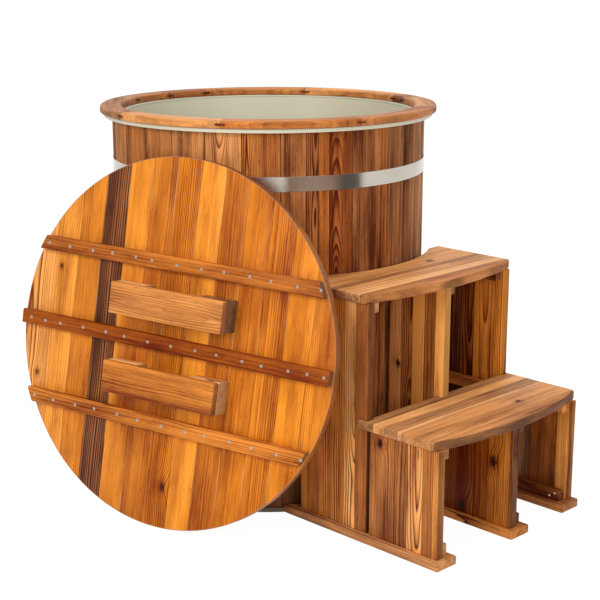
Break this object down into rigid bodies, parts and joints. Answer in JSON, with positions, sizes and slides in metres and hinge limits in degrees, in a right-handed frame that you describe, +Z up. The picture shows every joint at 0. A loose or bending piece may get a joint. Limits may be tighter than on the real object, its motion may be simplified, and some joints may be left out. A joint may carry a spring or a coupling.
{
  "type": "cold plunge tub",
  "caption": "Round timber cold plunge tub with a plastic liner, steel bands, a rear drain valve, a plank lid leaning on its side and free-standing two-tread steps.",
  "frame": {"origin": "centre of the underside of the base plate, on the floor", "axes": "+Z up along the tub axis, -Y towards the viewer, +X to their right"},
  "size_m": [1.5524, 1.4188, 1.0809],
  "materials": {
    "stave_wood_mid": "satin oiled larch",
    "stave_wood_tan": "satin oiled larch",
    "stave_wood_dark": "satin oiled larch",
    "stave_wood_light": "satin oiled larch",
    "rim_wood": "satin oiled larch",
    "lid_wood": "satin oiled larch",
    "batten_wood": "satin oiled larch",
    "handle_wood": "satin oiled larch",
    "tread_wood": "satin oiled larch",
    "frame_wood": "satin oiled larch",
    "liner_plastic": "smooth moulded beige",
    "base_plastic": "matt beige",
    "band_steel": "brushed stainless",
    "valve_brass": "nickel plated, dull",
    "lever_steel": "zinc plated"
  },
  "bodies": {
    "tub": {"base_plate": "base_plastic", "liner": "liner_plastic", "stave_01": "stave_wood_mid", "stave_02": "stave_wood_tan", "stave_03": "stave_wood_dark", "stave_04": "stave_wood_light", "stave_05": "stave_wood_mid", "stave_06": "stave_wood_tan", "stave_07": "stave_wood_dark", "stave_08": "stave_wood_light", "stave_09": "stave_wood_mid", "stave_10": "stave_wood_tan", "stave_11": "stave_wood_dark", "stave_12": "stave_wood_light", "stave_13": "stave_wood_mid", "stave_14": "stave_wood_tan", "stave_15": "stave_wood_dark", "stave_16": "stave_wood_light", "stave_17": "stave_wood_mid", "stave_18": "stave_wood_tan", "stave_19": "stave_wood_dark", "stave_20": "stave_wood_light", "stave_21": "stave_wood_mid", "stave_22": "stave_wood_tan", "stave_23": "stave_wood_dark", "stave_24": "stave_wood_light", "stave_25": "stave_wood_mid", "stave_26": "stave_wood_tan", "stave_27": "stave_wood_dark", "stave_28": "stave_wood_light", "upper_band": "band_steel", "lower_band": "band_steel", "rim_ring": "rim_wood", "drain_fitting": "valve_brass", "drain_valve": "valve_brass"},
    "lid": {"lid_panel": "lid_wood", "lid_batten_top": "batten_wood", "lid_batten_middle": "batten_wood", "lid_batten_bottom": "batten_wood", "lid_handle_upper": "handle_wood", "lid_handle_lower": "handle_wood"},
    "steps": {"left_foot": "frame_wood", "left_tall_panel": "frame_wood", "left_short_panel": "frame_wood", "left_lower_cleat": "frame_wood", "left_upper_cleat": "frame_wood", "middle_foot": "frame_wood", "middle_tall_panel": "frame_wood", "middle_short_panel": "frame_wood", "middle_lower_cleat": "frame_wood", "middle_upper_cleat": "frame_wood", "right_foot": "frame_wood", "right_tall_panel": "frame_wood", "right_short_panel": "frame_wood", "right_lower_cleat": "frame_wood", "right_upper_cleat": "frame_wood", "upper_tread": "tread_wood", "lower_tread": "tread_wood"},
    "lever": {"drain_lever": "lever_steel"}
  },
  "joints": [
    {"name": "lid_lift_off", "type": "slide", "parent": "tub", "child": "lid", "axis": [-0.5106, -0.8431, 0.1685], "range_m": [0, 0.5]},
    {"name": "steps_pull_away", "type": "slide", "parent": "tub", "child": "steps", "axis": [0.6884, -0.7254, 0], "range_m": [0, 0.5]},
    {"name": "drain_lever_turn", "type": "hinge", "parent": "tub", "child": "lever", "pos_m": [0.023, 0.50107, 0.1103], "axis": [0, 0, -1], "range_deg": [0, 90]}
  ]
}
